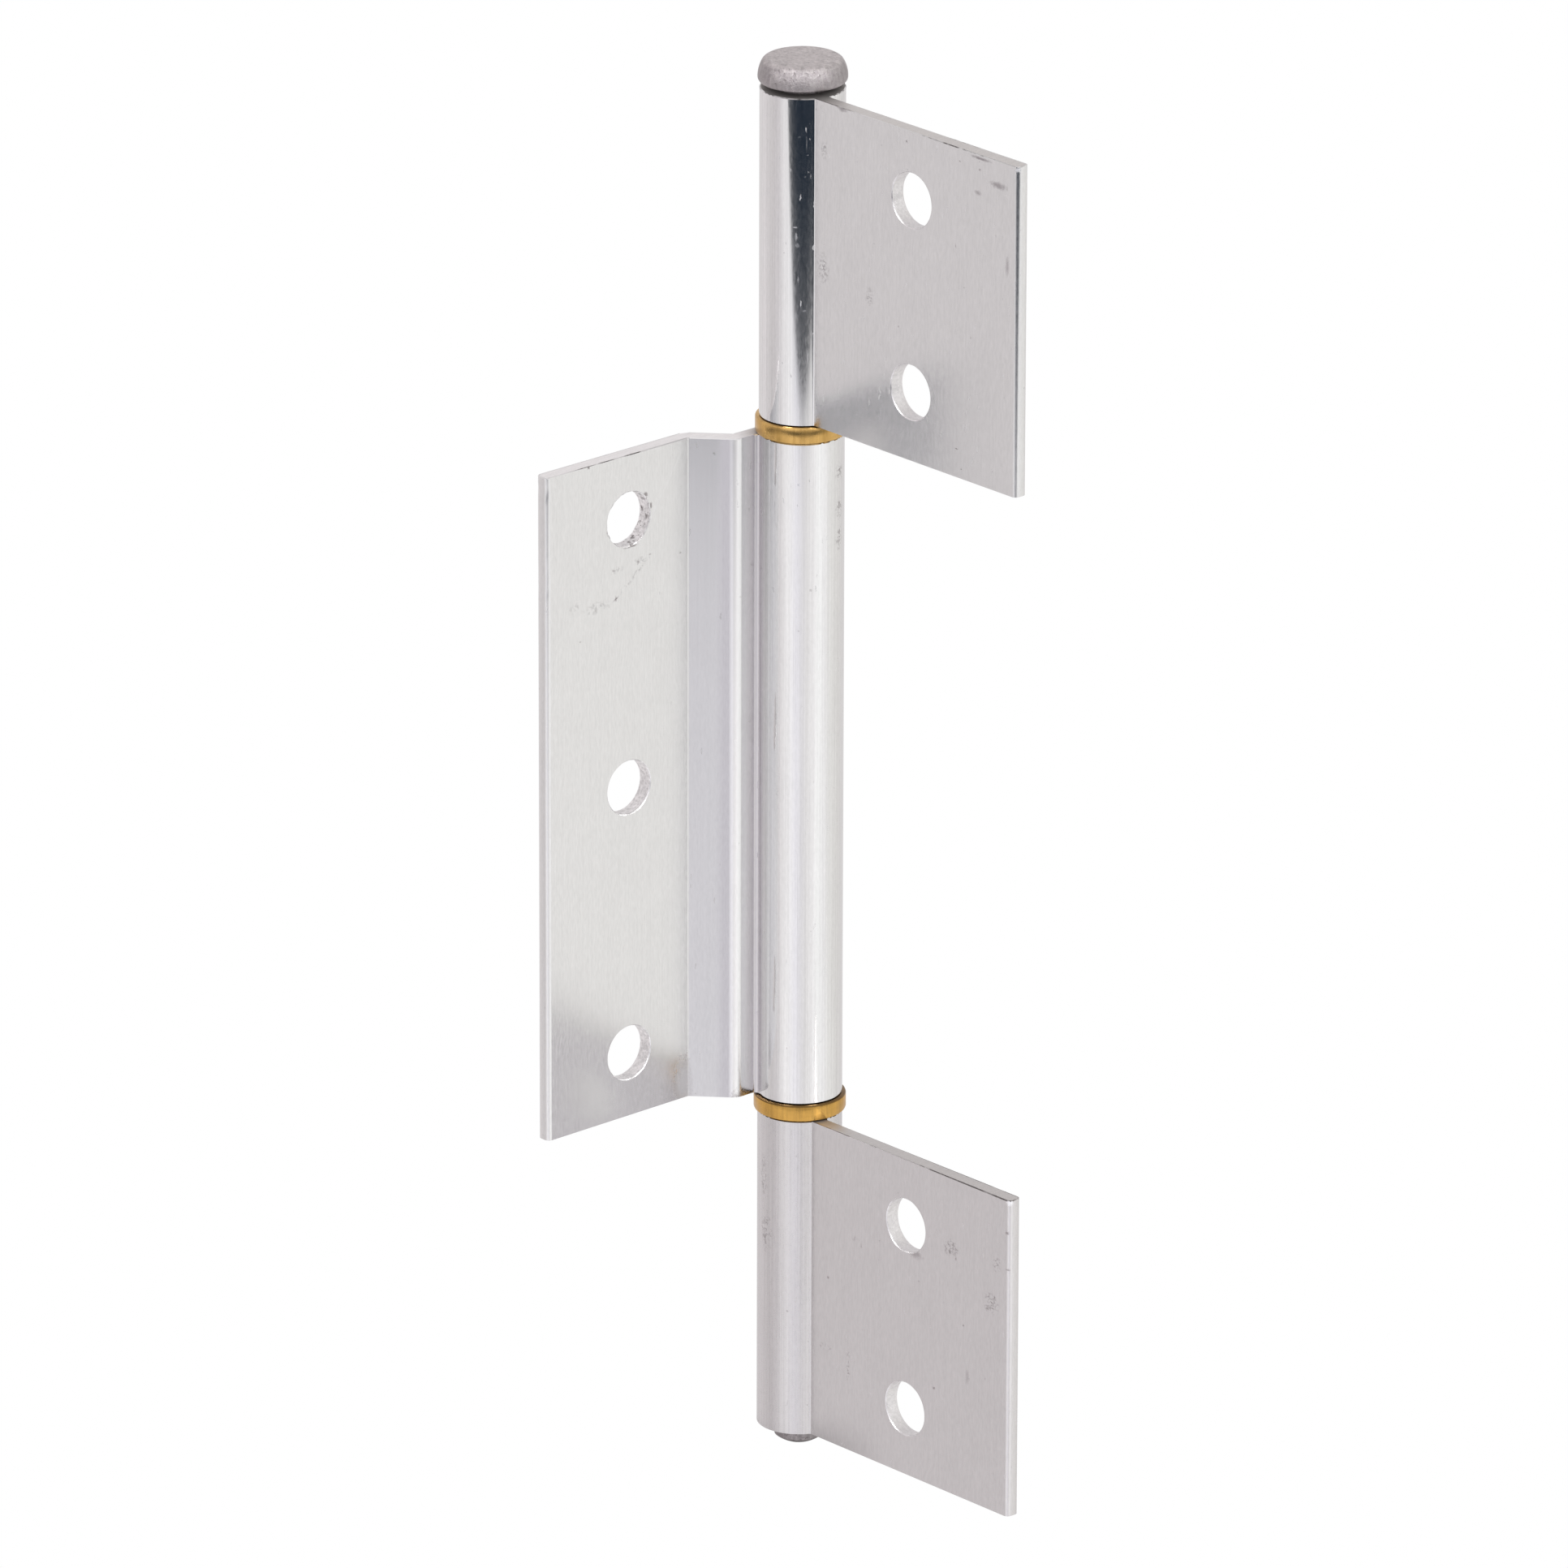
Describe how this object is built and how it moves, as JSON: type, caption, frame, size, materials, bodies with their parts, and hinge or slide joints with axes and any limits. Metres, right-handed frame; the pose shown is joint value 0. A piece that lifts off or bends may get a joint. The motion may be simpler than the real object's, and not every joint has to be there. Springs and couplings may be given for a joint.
{
  "type": "offset screen door hinge",
  "caption": "Offset screen door hinge: a long cranked door leaf turns between short flat jamb leaves on a headed pin with brass thrust washers.",
  "frame": {"origin": "on the pin's axis, at mid-height of the door leaf", "axes": "+Z along the pin towards its head; at rest the jamb leaves point along +X and the door leaf points along -Y, a door standing half open"},
  "size_m": [0.0455, 0.0372, 0.1652],
  "materials": {
    "door_leaf": "mill finish extrusion with fine lines along its length, punched holes and sawn ends",
    "jamb_leaf": "mill finish extrusion with fine lines along its length, punched holes and sawn ends",
    "pin": "dull zinc grey over a cold-headed blank, with fine pits on the head",
    "washer": "turned brass"
  },
  "bodies": {
    "door_leaf": {"door_leaf": "door_leaf"},
    "upper_jamb_leaf": {"upper_jamb_leaf": "jamb_leaf"},
    "lower_jamb_leaf": {"lower_jamb_leaf": "jamb_leaf"},
    "hinge_pin": {"hinge_pin": "pin"},
    "upper_thrust_washer": {"upper_thrust_washer": "washer"},
    "lower_thrust_washer": {"lower_thrust_washer": "washer"}
  },
  "joints": [
    {"name": "upper_leaf_swing", "type": "hinge", "parent": "door_leaf", "child": "upper_jamb_leaf", "pos_m": [0, 0, 0.06055], "axis": [0, 0, 1], "continuous": true},
    {"name": "lower_leaf_swing", "type": "hinge", "parent": "door_leaf", "child": "lower_jamb_leaf", "pos_m": [0, 0, -0.06055], "axis": [0, 0, 1], "continuous": true},
    {"name": "pin_pull", "type": "slide", "parent": "door_leaf", "child": "hinge_pin", "axis": [0, 0, 1], "range_m": [0, 0.165]},
    {"name": "upper_washer_spin", "type": "hinge", "parent": "door_leaf", "child": "upper_thrust_washer", "pos_m": [0, 0, 0.0404], "axis": [0, 0, 1], "continuous": true},
    {"name": "lower_washer_spin", "type": "hinge", "parent": "door_leaf", "child": "lower_thrust_washer", "pos_m": [0, 0, -0.0404], "axis": [0, 0, 1], "continuous": true}
  ]
}
